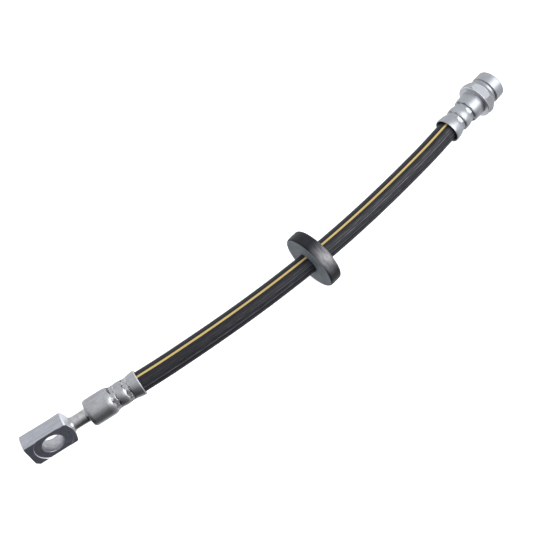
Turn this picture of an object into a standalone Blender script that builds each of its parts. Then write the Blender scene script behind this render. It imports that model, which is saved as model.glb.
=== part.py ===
"""Brake hose assembly: banjo end, crimped hose with a rubber grommet, female pipe end.

The hose lies as it would on a bench: the banjo block, the grommet's rim and the female
fitting's flange touch z = 0. X runs from the banjo to the female end.
"""
import math

import bmesh
import bpy
from mathutils import Matrix, Vector

MM = 0.001
GAP = 0.3 * MM                 # clearance kept between neighbouring solids
EDGE = 0.2 * MM                # small edge break
PART_LENGTH = 295.07 * MM      # over all, along X

# Hose
HOSE_RADIUS = 5.25 * MM
HOSE_BORE = 1.6 * MM           # radius of the fluid bore in the free length
HOSE_GRIP = 0.83               # share of the radius left under a crimp band
INSERT_BORE = 2.45 * MM        # radius of the bore where it is pushed over an insert
ROUTE_SWING = 3.59 * MM       # how far the free hose swings out to -Y
ROUTE_HEIGHT = 15.34 * MM     # height of the hose's middle at the grommet

# Banjo end, measured along its axis from the tip
BANJO_INSET = 0.660 * MM       # from the part's end to the middle of the tip face
BANJO_SIDE = 10.917 * MM
BANJO_HEIGHT = 8.413 * MM
BANJO_HEADING = math.radians(-7.5)
BANJO_PITCH = math.radians(3.0)
BANJO_FLAT_ANGLE = math.radians(61.3)   # flat's normal, from straight up towards -Y
BANJO_RADIUS = 8.5 * MM
BANJO_LENGTH = 21.75 * MM
BANJO_SHOULDER = 1.5 * MM
BANJO_ROUND = 0.5 * MM         # rounding of the bar's two ends
BANJO_FLAT = 4.13 * MM         # distance of each milled flat from the axis
BANJO_SEAT = 3.83 * MM         # distance of each sealing face from the axis
BANJO_SEAT_RADIUS = 9.45 * MM
BANJO_HOLE_RADIUS = 5.5 * MM
BANJO_HOLE_AT = 12.2 * MM
BANJO_HOLE_CHAMFER = 0.4 * MM
BANJO_SOCKET_DEPTH = 3.9 * MM
TIP_CORNER_AT = 5.1 * MM       # where the sloping cut on the tip starts, from the axis
TIP_CORNER_SLOPE = math.radians(31.0)
PASSAGE_RADIUS = 1.25 * MM

# Neck tube and its barbed end, heights from the ferrule's closed end
NECK_RADIUS = 3.35 * MM
NECK_REACH = 3.3 * MM
INSERT_RADIUS = 1.95 * MM
INSERT_REACH = 25.0 * MM
INSERT_PASSAGE = 1.1 * MM
INSERT_TIP = 0.3 * MM          # taper at the insert's open end
BARB_PITCH = 4.2 * MM
BARB_DEPTH = 0.3 * MM

# Ferrule at the banjo end; its outlines are shares of the radius and of the length
FERRULE_AT = 32.3 * MM
FERRULE_LENGTH = 27.95 * MM
FERRULE_RADIUS = 6.87 * MM
FERRULE_WALL = 1.5 * MM        # thickness of the closed end
FERRULE_TURN = math.radians(12.0)
FERRULE_OUTER = [
    (0.8079, 0.0), (0.9098, 0.0107), (0.9723, 0.0304), (1.0, 0.0608), (1.0, 0.3864),
    (0.9782, 0.4258), (0.9243, 0.458), (0.8515, 0.4866), (0.8239, 0.5116), (0.8326, 0.5474),
    (0.8559, 0.5939), (0.8705, 0.644), (0.8617, 0.6905), (0.8268, 0.7299), (0.8064, 0.7621),
    (0.818, 0.7979), (0.8559, 0.8372), (0.8996, 0.8873), (0.9345, 0.9445), (0.9534, 0.9911),
    (0.9389, 1.0),
]
FERRULE_INNER = [
    (0.8806, 1.0), (0.8515, 0.9839), (0.8326, 0.8945), (0.7715, 0.8301), (0.687, 0.7943),
    (0.687, 0.7299), (0.7205, 0.6798), (0.7205, 0.6082), (0.6958, 0.551), (0.6958, 0.4794),
    (0.8079, 0.4007), (0.8079, 0.0572),
]

# Crimp bands: (flat's distance from the axis, band's middle) as shares of the same two sizes
CRIMP_WIDTH = 2.3 * MM
CRIMP_JAWS = 8
CRIMP_REACH = 1.6              # outer radius of a band's cutter, as a share of the radius
FERRULE_BANDS = [(0.7802, 0.5152), (0.7627, 0.7656)]
SOCKET_BANDS = [(0.7842, 0.3227), (0.7914, 0.6409)]

# Female end, measured along its axis from the mouth where the hose enters
FEMALE_INSET = 37.670 * MM      # from the part's end to the middle of the mouth
FEMALE_SIDE = 5.477 * MM
FEMALE_HEIGHT = 10.541 * MM
FEMALE_HEADING = math.radians(8.6)
FEMALE_PITCH = math.radians(-2.5)
FEMALE_LENGTH = 37.0 * MM
SOCKET_RADIUS = 6.95 * MM
SOCKET_LENGTH = 22.0 * MM
SOCKET_FLOOR = 19.4 * MM
JAW_TURN = math.radians(10.5)  # from a corner of the hexagon to a corner between two jaws
SOCKET_OUTER = [
    (0.964, 0.0), (0.9899, 0.0114), (1.0, 0.0409), (0.9813, 0.1182), (0.9439, 0.1955),
    (0.8921, 0.25), (0.8374, 0.3), (0.8273, 0.3273), (0.8705, 0.3636), (0.9165, 0.4045),
    (0.9252, 0.4591), (0.9165, 0.5091), (0.8791, 0.5636), (0.8417, 0.6045), (0.8345, 0.6364),
    (0.9137, 0.6773), (0.9612, 0.7182), (0.9856, 0.7727), (0.9957, 0.85), (0.9957, 1.0),
]
SOCKET_INNER = [
    (0.9424, 0.0023), (0.8273, 0.0727), (0.8029, 0.1636), (0.7482, 0.2364), (0.6791, 0.2864),
    (0.6791, 0.3818), (0.7079, 0.4455), (0.7079, 0.5364), (0.6849, 0.5909), (0.6849, 0.6955),
    (0.7842, 0.7727),
]
FLANGE_START = 22.35 * MM
FLANGE_RADIUS = 9.55 * MM
FLANGE_EDGE = 0.45 * MM
HEX_ANGLE = math.radians(29.3)  # a corner of the hexagon, from straight up towards -Y
HEX_CORNER = 9.81 * MM
HEX_START = 23.1 * MM
HEX_END = 26.1 * MM
CONE_END = 29.5 * MM
CONE_RADIUS = 7.75 * MM
CLIP_GROOVE = 6.9 * MM
COLLAR_START = 30.7 * MM
COLLAR_RADIUS = 7.95 * MM
COLLAR_ROUND = 0.75 * MM
PORT_RADIUS = 4.5 * MM
PORT_CHAMFER = 0.55 * MM
PORT_FLOOR = 24.6 * MM
SEAT_HEAD = 4.15 * MM
SEAT_HEIGHT = 3.5 * MM
SEAT_LIP = 0.75 * MM
FLARE_START = 2.2 * MM         # open end of the insert in the hose
FLARE_NECK = 0.9 * MM

# Grommet, set slightly askew on the hose
GROMMET_RADIUS = 15.25 * MM
GROMMET_WIDTH = 7.0 * MM
GROMMET_EDGE = 0.7 * MM
GROMMET_KNOT = 6               # the point of the free route at its middle
GROMMET_HEADING = math.radians(5.9)
GROMMET_PITCH = math.radians(-2.0)

# Free length of the hose between the two mouths, as shares of the part's length, of the
# swing and of the height at the grommet
FREE_ROUTE = [
    (-0.2522, 0.411, 0.7888), (-0.2013, -0.015, 0.8390), (-0.1505, -0.382, 0.8853),
    (-0.0997, -0.678, 0.9270), (-0.0488, -0.884, 0.9635), (0.0020, -0.995, 0.9935),
    (0.0454, -1.001, 0.9999), (0.0698, -0.965, 0.9928), (0.1206, -0.789, 0.9583),
    (0.1715, -0.502, 0.9126), (0.2223, -0.112, 0.8540), (0.2731, 0.350, 0.7920),
    (0.3240, 0.885, 0.7366),
]

METAL = {"banjo_block": ((0.40, 0.41, 0.44), 0.36), "neck_tube": ((0.38, 0.35, 0.32), 0.42),
         "banjo_ferrule": ((0.40, 0.40, 0.43), 0.38), "female_fitting": ((0.56, 0.57, 0.60), 0.30),
         "flare_insert": ((0.50, 0.50, 0.52), 0.34)}
RUBBER = {"hose": ((0.028, 0.028, 0.034), 0.55), "grommet": ((0.045, 0.050, 0.062), 0.62)}


def clear_scene():
    """Remove every object and the leftover meshes of the startup scene."""
    for old in list(bpy.data.objects):
        bpy.data.objects.remove(old, do_unlink=True)
    for mesh in list(bpy.data.meshes):
        bpy.data.meshes.remove(mesh)


def new_collection(name):
    group = bpy.data.collections.new(name)
    bpy.context.scene.collection.children.link(group)
    return group


def make_material(name, colour, roughness, metallic):
    mat = bpy.data.materials.new(name)
    mat.use_nodes = True
    shader = mat.node_tree.nodes["Principled BSDF"]
    shader.inputs["Base Color"].default_value = (*colour, 1.0)
    shader.inputs["Roughness"].default_value = roughness
    shader.inputs["Metallic"].default_value = metallic
    return mat


def axis_frame(origin, heading, pitch, roll):
    """Frame with Z along a fitting's axis and X turned by roll from straight up towards -Y."""
    along = Vector((math.cos(pitch) * math.cos(heading), math.cos(pitch) * math.sin(heading),
                    math.sin(pitch)))
    side = Vector((math.sin(heading), -math.cos(heading), 0.0))
    up = side.cross(along)
    x_axis = up * math.cos(roll) + side * math.sin(roll)
    y_axis = along.cross(x_axis)
    frame = Matrix((x_axis, y_axis, along)).transposed().to_4x4()
    frame.translation = origin
    return frame


BANJO_TIP = Vector((BANJO_INSET - PART_LENGTH / 2.0, BANJO_SIDE, BANJO_HEIGHT))
FEMALE_MOUTH = Vector((PART_LENGTH / 2.0 - FEMALE_INSET, FEMALE_SIDE, FEMALE_HEIGHT))
BANJO_UP = axis_frame(BANJO_TIP, BANJO_HEADING, BANJO_PITCH, 0.0)
BANJO_FRAME = axis_frame(BANJO_TIP, BANJO_HEADING, BANJO_PITCH, BANJO_FLAT_ANGLE)
FEMALE_FRAME = axis_frame(FEMALE_MOUTH, FEMALE_HEADING, FEMALE_PITCH, HEX_ANGLE)


def turned(name, profile, frame, group, steps=40):
    """Turn a profile of (radius, height) about its frame's Z.

    The profile runs down the outer side; a closed one comes back up the bore.
    """
    mesh = bpy.data.meshes.new(name)
    verts = [(radius, 0.0, height) for radius, height in profile]
    edges = [(i, i + 1) for i in range(len(verts) - 1)]
    if profile[0][0] > 1e-9:
        edges.append((len(verts) - 1, 0))
    mesh.from_pydata(verts, edges, [])
    obj = bpy.data.objects.new(name, mesh)
    group.objects.link(obj)
    obj.matrix_world = frame
    screw = obj.modifiers.new("Turn", "SCREW")
    screw.axis = "Z"
    screw.angle = 2.0 * math.pi
    screw.steps = screw.render_steps = steps
    screw.use_merge_vertices = True
    screw.merge_threshold = 0.00001
    screw.use_smooth_shade = steps > 12
    return obj


def primitive(name, maker, frame, group):
    """Object from one bmesh primitive, filled by maker."""
    mesh = bpy.data.meshes.new(name)
    bm = bmesh.new()
    maker(bm)
    bm.to_mesh(mesh)
    bm.free()
    obj = bpy.data.objects.new(name, mesh)
    group.objects.link(obj)
    obj.matrix_world = frame
    return obj


def box_maker(low, high):
    size = [h - l for l, h in zip(low, high)]
    centre = [(h + l) / 2.0 for l, h in zip(low, high)]

    def maker(bm):
        bmesh.ops.create_cube(bm, size=1.0)
        bmesh.ops.scale(bm, vec=size, verts=bm.verts)
        bmesh.ops.translate(bm, vec=centre, verts=bm.verts)
    return maker


def rod_maker(radius_a, radius_b, depth, segments, place):
    def maker(bm):
        bmesh.ops.create_cone(bm, cap_ends=True, segments=segments, radius1=radius_a,
                              radius2=radius_b, depth=depth, matrix=place)
    return maker


def cut(target, cutter):
    """Take the cutter away from the target."""
    cutter.hide_render = True
    cutter.display_type = "WIRE"
    boolean = target.modifiers.new("Cut " + cutter.name, "BOOLEAN")
    boolean.operation = "DIFFERENCE"
    boolean.solver = "EXACT"
    boolean.object = cutter


def outline(points, radius, length):
    """Profile points from their shares of a radius and of a length."""
    return [(radius * across, length * along) for across, along in points]


def crimp(target, frame, bands, cutters):
    """Press a ring of flat jaw marks into a ferrule for each (distance, height)."""
    for index, (apothem, height) in enumerate(bands):
        inner = apothem / math.cos(math.pi / CRIMP_JAWS)
        outer = apothem * CRIMP_REACH
        low, high = height - CRIMP_WIDTH / 2.0, height + CRIMP_WIDTH / 2.0
        loop = [(outer, high), (outer, low), (inner, low), (inner, high)]
        ring = turned(f"{target.name}_jaws_{index}", loop, frame, cutters, steps=CRIMP_JAWS)
        cut(target, ring)


def barbed_insert(start, end, flip):
    """Saw-tooth outline of an insert between two heights, from the start to the end."""
    points = []
    count = int(abs(end - start) / BARB_PITCH)
    step = math.copysign(BARB_PITCH, end - start)
    for index in range(count):
        base = start + step * (index + 0.35)
        tooth = [(INSERT_RADIUS - BARB_DEPTH, base), (INSERT_RADIUS, base + 0.02 * step),
                 (INSERT_RADIUS - BARB_DEPTH, base + 0.55 * step)]
        points += tooth
    points.append((INSERT_RADIUS - BARB_DEPTH, end - math.copysign(INSERT_TIP, step)))
    points.append((INSERT_RADIUS - BARB_DEPTH - INSERT_TIP, end))
    return points[::-1] if flip else points


def make_banjo_block(parts, cutters):
    """Round bar end with two milled flats, the cross hole and its two sealing faces."""
    rear = BANJO_LENGTH + BANJO_SHOULDER
    socket = NECK_RADIUS + GAP
    profile = [
        (0.0, rear - BANJO_SOCKET_DEPTH), (socket, rear - BANJO_SOCKET_DEPTH), (socket, rear),
        (socket + 2.0 * EDGE, rear), (BANJO_RADIUS - BANJO_ROUND, BANJO_LENGTH + EDGE),
        (BANJO_RADIUS - 0.29 * BANJO_ROUND, BANJO_LENGTH - 0.29 * BANJO_ROUND),
        (BANJO_RADIUS, BANJO_LENGTH - BANJO_ROUND), (BANJO_RADIUS, BANJO_ROUND),
        (BANJO_RADIUS - 0.29 * BANJO_ROUND, 0.29 * BANJO_ROUND),
        (BANJO_RADIUS - BANJO_ROUND, 0.0), (0.0, 0.0),
    ]
    block = turned("banjo_block", profile, BANJO_FRAME, parts, steps=64)
    reach = 1.5 * BANJO_RADIUS
    to_x = Matrix.Rotation(math.pi / 2.0, 4, "Y")
    for sign, side in ((1, "front"), (-1, "back")):
        low = (BANJO_FLAT if sign > 0 else -reach, -reach, -reach)
        high = (reach if sign > 0 else -BANJO_FLAT, reach, rear + reach)
        cut(block, primitive(f"flat_{side}", box_maker(low, high), BANJO_FRAME, cutters))
        place = Matrix.Translation((sign * (BANJO_SEAT + reach / 2.0), 0.0, BANJO_HOLE_AT)) @ to_x
        seat = rod_maker(BANJO_SEAT_RADIUS, BANJO_SEAT_RADIUS, reach, 64, place)
        cut(block, primitive(f"seat_{side}", seat, BANJO_FRAME, cutters))
    across = Matrix.Translation((0.0, 0.0, BANJO_HOLE_AT)) @ to_x
    hole = rod_maker(BANJO_HOLE_RADIUS, BANJO_HOLE_RADIUS, 2.0 * reach, 56, across)
    cut(block, primitive("cross_hole", hole, BANJO_FRAME, cutters))
    small = BANJO_HOLE_RADIUS - BANJO_HOLE_CHAMFER
    large = BANJO_HOLE_RADIUS + 3.0 * BANJO_HOLE_CHAMFER
    for sign, side in ((1, "front"), (-1, "back")):
        place = Matrix.Translation((sign * BANJO_SEAT, 0.0, BANJO_HOLE_AT)) @ to_x
        ends = (small, large) if sign > 0 else (large, small)
        cone = rod_maker(*ends, 4.0 * BANJO_HOLE_CHAMFER, 56, place)
        cut(block, primitive(f"chamfer_{side}", cone, BANJO_FRAME, cutters))
    corner = BANJO_FRAME @ Matrix.Translation((0.0, TIP_CORNER_AT, 0.0)) \
        @ Matrix.Rotation(TIP_CORNER_SLOPE, 4, "X")
    wedge = box_maker((-reach, -BANJO_ROUND, -reach), (reach, reach, 0.0))
    cut(block, primitive("tip_corner", wedge, corner, cutters))
    place = Matrix.Translation((0.0, 0.0, (BANJO_HOLE_AT + rear) / 2.0))
    passage = rod_maker(PASSAGE_RADIUS, PASSAGE_RADIUS, rear - BANJO_HOLE_AT - GAP, 16, place)
    cut(block, primitive("block_passage", passage, BANJO_FRAME, cutters))
    return block


def make_neck_tube(parts):
    """Tube brazed into the banjo block, stepped down to the barbed insert in the hose."""
    bottom = BANJO_LENGTH + BANJO_SHOULDER - BANJO_SOCKET_DEPTH + GAP
    shoulder = FERRULE_AT + NECK_REACH
    end = FERRULE_AT + INSERT_REACH
    profile = [(INSERT_PASSAGE, end)]
    profile += barbed_insert(shoulder, end, True)
    profile += [(INSERT_RADIUS - BARB_DEPTH, shoulder), (NECK_RADIUS, shoulder),
                (NECK_RADIUS, bottom), (INSERT_PASSAGE, bottom)]
    return turned("neck_tube", profile, BANJO_UP, parts, steps=32)


def make_banjo_ferrule(parts, cutters):
    """Deep-drawn ferrule with a closed end round the neck and two crimp bands."""
    outer = outline(FERRULE_OUTER, FERRULE_RADIUS, FERRULE_LENGTH)
    inner = outline(FERRULE_INNER, FERRULE_RADIUS, FERRULE_LENGTH)
    hole = NECK_RADIUS + GAP
    profile = outer[::-1] + [(hole, 0.0), (hole, FERRULE_WALL)] + inner[::-1]
    frame = BANJO_UP @ Matrix.Translation((0.0, 0.0, FERRULE_AT)) \
        @ Matrix.Rotation(FERRULE_TURN, 4, "Z")
    ferrule = turned("banjo_ferrule", profile, frame, parts)
    crimp(ferrule, frame, outline(FERRULE_BANDS, FERRULE_RADIUS, FERRULE_LENGTH), cutters)
    return ferrule


def make_female_fitting(parts, cutters):
    """Turned body: crimp socket, flange, hexagon with its cone, clip groove, collar, port."""
    profile = [
        (PORT_RADIUS + PORT_CHAMFER, FEMALE_LENGTH), (COLLAR_RADIUS - COLLAR_ROUND, FEMALE_LENGTH),
        (COLLAR_RADIUS - 0.29 * COLLAR_ROUND, FEMALE_LENGTH - 0.29 * COLLAR_ROUND),
        (COLLAR_RADIUS, FEMALE_LENGTH - COLLAR_ROUND), (COLLAR_RADIUS, COLLAR_START + EDGE),
        (COLLAR_RADIUS - EDGE, COLLAR_START), (CLIP_GROOVE, COLLAR_START),
        (CLIP_GROOVE, CONE_END), (CONE_RADIUS, CONE_END), (HEX_CORNER, HEX_END),
        (HEX_CORNER, HEX_START + EDGE), (FLANGE_RADIUS, HEX_START),
        (FLANGE_RADIUS - 0.25 * FLANGE_EDGE, FLANGE_START + 0.5 * FLANGE_EDGE),
        (FLANGE_RADIUS - FLANGE_EDGE, FLANGE_START), (SOCKET_RADIUS + EDGE, FLANGE_START),
    ]
    profile += outline(SOCKET_OUTER, SOCKET_RADIUS, SOCKET_LENGTH)[::-1]
    inner = outline(SOCKET_INNER, SOCKET_RADIUS, SOCKET_LENGTH)
    wall_hole = INSERT_RADIUS + GAP
    profile += inner + [
        (inner[-1][0], SOCKET_FLOOR), (wall_hole, SOCKET_FLOOR), (wall_hole, PORT_FLOOR),
        (PORT_RADIUS, PORT_FLOOR), (PORT_RADIUS, FEMALE_LENGTH - PORT_CHAMFER)]
    fitting = turned("female_fitting", profile, FEMALE_FRAME, parts)
    # the hexagon's flats: a six-sided ring taken off the turned blank
    reach = 1.4 * HEX_CORNER
    loop = [(reach, COLLAR_START), (reach, HEX_START), (HEX_CORNER, HEX_START),
            (HEX_CORNER, COLLAR_START)]
    cut(fitting, turned("hexagon", loop, FEMALE_FRAME, cutters, steps=6))
    jaws = FEMALE_FRAME @ Matrix.Rotation(JAW_TURN, 4, "Z")
    crimp(fitting, jaws, outline(SOCKET_BANDS, SOCKET_RADIUS, SOCKET_LENGTH), cutters)
    return fitting


def make_flare_insert(parts):
    """Insert pressed through the fitting: barbed in the hose, with the port's flare seat."""
    base = PORT_FLOOR + GAP
    profile = [
        (INSERT_PASSAGE, base + SEAT_HEIGHT), (INSERT_PASSAGE + SEAT_LIP, base + SEAT_HEIGHT),
        (SEAT_HEAD - 0.5 * EDGE, base + 0.43 * SEAT_HEIGHT), (SEAT_HEAD, base + 0.37 * SEAT_HEIGHT),
        (SEAT_HEAD, base), (INSERT_RADIUS, base), (INSERT_RADIUS, SOCKET_FLOOR - FLARE_NECK),
        (INSERT_RADIUS - BARB_DEPTH, SOCKET_FLOOR - 1.4 * FLARE_NECK),
    ]
    profile += barbed_insert(SOCKET_FLOOR - 1.5 * FLARE_NECK, FLARE_START, False)
    profile.append((INSERT_PASSAGE, FLARE_START))
    return turned("flare_insert", profile, FEMALE_FRAME, parts, steps=32)


def free_route():
    """Points of the free hose's middle line."""
    return [Vector((x * PART_LENGTH, y * ROUTE_SWING, z * ROUTE_HEIGHT))
            for x, y, z in FREE_ROUTE]


def hose_route():
    """Route points with the hose's radius there, from inside one fitting to the other.

    Heights in a fitting are shares of its ferrule's or socket's length.
    """
    free = HOSE_RADIUS
    grip = HOSE_RADIUS * HOSE_GRIP
    at_banjo = [(0.1288, 0.95 * free), (0.3399, 0.95 * free), (0.4723, grip), (0.5581, grip),
                (0.6512, 0.86 * free), (0.7227, grip), (0.8014, grip), (0.8945, 0.98 * free),
                (1.0, free)]
    at_female = [(0.0, free), (0.1455, 0.98 * free), (0.2818, grip), (0.3864, grip),
                 (0.4909, 0.86 * free), (0.5909, grip), (0.7, grip), (0.7818, 0.95 * free),
                 (0.8545, 0.95 * free)]
    route = [(BANJO_UP @ Vector((0.0, 0.0, FERRULE_AT + h * FERRULE_LENGTH)), r)
             for h, r in at_banjo]
    route += [(point, free) for point in free_route()]
    route += [(FEMALE_FRAME @ Vector((0.0, 0.0, h * SOCKET_LENGTH)), r) for h, r in at_female]
    return route


def smooth_route(route, first, last):
    """Add the point halfway along each free span, on a smooth curve through its neighbours."""
    result = []
    for index, (point, radius) in enumerate(route):
        result.append((point, radius))
        if first <= index < last:
            before, after = route[index - 1][0], route[index + 1][0]
            beyond = route[index + 2][0]
            start = (after - before) * ((after - point).length / (after - before).length)
            end = (beyond - point) * ((after - point).length / (beyond - point).length)
            middle = (point + after) * 0.5 + (start - end) * 0.125
            result.append((middle, radius))
    return result


def tube_mesh(name, points, resolution, group):
    """Tube along the points, made a closed mesh object."""
    curve = bpy.data.curves.new(name + "_curve", "CURVE")
    curve.dimensions = "3D"
    curve.bevel_depth = 1.0
    curve.bevel_resolution = resolution
    curve.use_fill_caps = True
    spline = curve.splines.new("POLY")
    spline.points.add(len(points) - 1)
    for knot, (place, radius) in zip(spline.points, points):
        knot.co = (*place, 1.0)
        knot.radius = radius
    guide = bpy.data.objects.new(name + "_curve", curve)
    group.objects.link(guide)
    bpy.context.view_layer.update()
    evaluated = guide.evaluated_get(bpy.context.evaluated_depsgraph_get())
    mesh = bpy.data.meshes.new_from_object(evaluated)
    bm = bmesh.new()
    bm.from_mesh(mesh)
    bmesh.ops.remove_doubles(bm, verts=bm.verts, dist=1e-6)
    bm.to_mesh(mesh)
    bm.free()
    tube = bpy.data.objects.new(name, mesh)
    tube.matrix_world = guide.matrix_world
    group.objects.link(tube)
    bpy.data.objects.remove(guide, do_unlink=True)
    bpy.data.curves.remove(curve)
    return tube


def make_hose(parts, cutters):
    """Rubber hose with its fluid bore, widened over the two inserts."""
    route = hose_route()
    points = smooth_route(route, 8, len(route) - 9)
    hose = tube_mesh("hose", points, 4, parts)
    count = len(points)
    start = points[0][0] + (points[0][0] - points[1][0]).normalized() * HOSE_BORE
    end = points[-1][0] + (points[-1][0] - points[-2][0]).normalized() * HOSE_BORE
    bore = [(start, INSERT_BORE)]
    for index, (place, _) in enumerate(points):
        inside = index < 8 or index >= count - 8
        bore.append((place, INSERT_BORE if inside else HOSE_BORE))
    bore.append((end, INSERT_BORE))
    cut(hose, tube_mesh("hose_bore", bore, 2, cutters))
    return hose


def make_grommet(parts, cutters):
    """Rubber disc on the hose with slightly rounded rims, bored along the hose."""
    half = GROMMET_WIDTH / 2.0
    edge = GROMMET_EDGE
    radius = GROMMET_RADIUS
    profile = [
        (0.0, half), (radius - edge, half), (radius - 0.3 * edge, half - 0.3 * edge),
        (radius, half - edge), (radius, edge - half), (radius - 0.3 * edge, 0.3 * edge - half),
        (radius - edge, -half), (0.0, -half),
    ]
    before, at, after = free_route()[GROMMET_KNOT - 1:GROMMET_KNOT + 2]
    frame = axis_frame(at, GROMMET_HEADING, GROMMET_PITCH, 0.0)
    grommet = turned("grommet", profile, frame, parts, steps=64)
    along = (after - before).normalized()
    hose = axis_frame(at, math.atan2(along.y, along.x), math.asin(along.z), 0.0)
    bore = rod_maker(HOSE_RADIUS + GAP, HOSE_RADIUS + GAP, 2.0 * GROMMET_WIDTH, 40,
                     Matrix.Identity(4))
    cut(grommet, primitive("grommet_bore", bore, hose, cutters))
    return grommet


def main():
    clear_scene()
    parts = new_collection("brake_hose")
    cutters = new_collection("cutters")
    pieces = [
        make_banjo_block(parts, cutters), make_neck_tube(parts),
        make_banjo_ferrule(parts, cutters), make_hose(parts, cutters),
        make_grommet(parts, cutters), make_female_fitting(parts, cutters),
        make_flare_insert(parts),
    ]
    for piece in pieces:
        metal = piece.name in METAL
        colour, roughness = METAL[piece.name] if metal else RUBBER[piece.name]
        piece.data.materials.clear()
        piece.data.materials.append(
            make_material(piece.name, colour, roughness, 1.0 if metal else 0.0))


main()
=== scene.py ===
"""Brake hose: satin steel ends, a striped rubber hose and its grommet, in plain studio light.

Lengths in the piece classes are millimetres along a fitting's own axis; meshes are in metres.
"""
from __future__ import annotations

import logging
import math
from dataclasses import dataclass, replace
from enum import Enum

import bmesh
import bpy
import numpy as np
from mathutils import Matrix, Vector

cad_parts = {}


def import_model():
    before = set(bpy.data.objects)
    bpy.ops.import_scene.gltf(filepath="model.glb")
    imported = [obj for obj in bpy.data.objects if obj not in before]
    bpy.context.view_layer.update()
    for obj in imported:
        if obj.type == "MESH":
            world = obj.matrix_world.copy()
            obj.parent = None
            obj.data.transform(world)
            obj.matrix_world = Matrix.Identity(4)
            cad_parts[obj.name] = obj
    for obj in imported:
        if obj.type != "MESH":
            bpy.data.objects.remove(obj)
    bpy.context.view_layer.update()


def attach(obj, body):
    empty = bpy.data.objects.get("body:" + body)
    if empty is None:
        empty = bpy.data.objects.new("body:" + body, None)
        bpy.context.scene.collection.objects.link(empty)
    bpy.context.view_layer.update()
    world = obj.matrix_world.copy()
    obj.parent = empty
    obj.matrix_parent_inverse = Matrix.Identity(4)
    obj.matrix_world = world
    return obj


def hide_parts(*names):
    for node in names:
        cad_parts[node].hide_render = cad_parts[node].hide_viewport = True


LOG = logging.getLogger("brake_hose")
MM = 0.001
TURN = 2.0 * math.pi
UV_PER_METRE = 100.0

Triple = tuple[float, float, float]
Pairs = list[tuple[float, float]]
Material = bpy.types.Material
Mesh = bpy.types.Mesh
Object = bpy.types.Object
Socket = bpy.types.NodeSocket
Value = float | Triple | Socket


@dataclass(frozen=True)
class Axis:
    """A fitting's own frame: Z along it, X turned by roll from straight up towards -Y."""

    origin: Triple
    heading: float
    pitch: float
    roll: float = 0.0

    def basis(self) -> np.ndarray:
        """Return the frame's X, Y and Z as the rows of a 3 by 3 array."""
        head, tilt, turn = (math.radians(v) for v in (self.heading, self.pitch, self.roll))
        along = np.array([math.cos(tilt) * math.cos(head), math.cos(tilt) * math.sin(head),
                          math.sin(tilt)])
        side = np.array([math.sin(head), -math.cos(head), 0.0])
        up = np.cross(side, along)
        x_axis = up * math.cos(turn) + side * math.sin(turn)
        return np.array([x_axis, np.cross(along, x_axis), along])

    def place(self, points: np.ndarray) -> np.ndarray:
        """Move points from the frame, in millimetres, to the object's space in metres.

        Args:
            points: any array of points whose last axis is x, y, z.

        Returns:
            An array of the same shape.
        """
        return (points @ self.basis() + np.array(self.origin)) * MM

    def local(self, points: np.ndarray) -> np.ndarray:
        """Move points in metres back into the frame, in millimetres: place, undone."""
        return (points / MM - np.array(self.origin)) @ self.basis().T

    def rolled(self, roll: float) -> Axis:
        """Return the same axis with another roll, in degrees."""
        return replace(self, roll=roll)

    def moved(self, height: float) -> Axis:
        """Return the same axis with its origin moved along itself by height."""
        return replace(self, origin=tuple(np.array(self.origin) + self.basis()[2] * height))


BANJO_AXIS = Axis((-146.875, 10.917, 8.413), -7.5, 3.0)
FEMALE_AXIS = Axis((109.865, 5.477, 10.541), 8.6, -2.5, 29.3)
FERRULE_AT = 32.3
FERRULE_AXIS = BANJO_AXIS.moved(FERRULE_AT)


class Pattern(Enum):
    """How a finish varies over its surface."""

    TURNED = "fine rings left by a lathe"
    DRAWN = "soft lengthwise drawing lines"
    CAST = "small even mottling"


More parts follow.
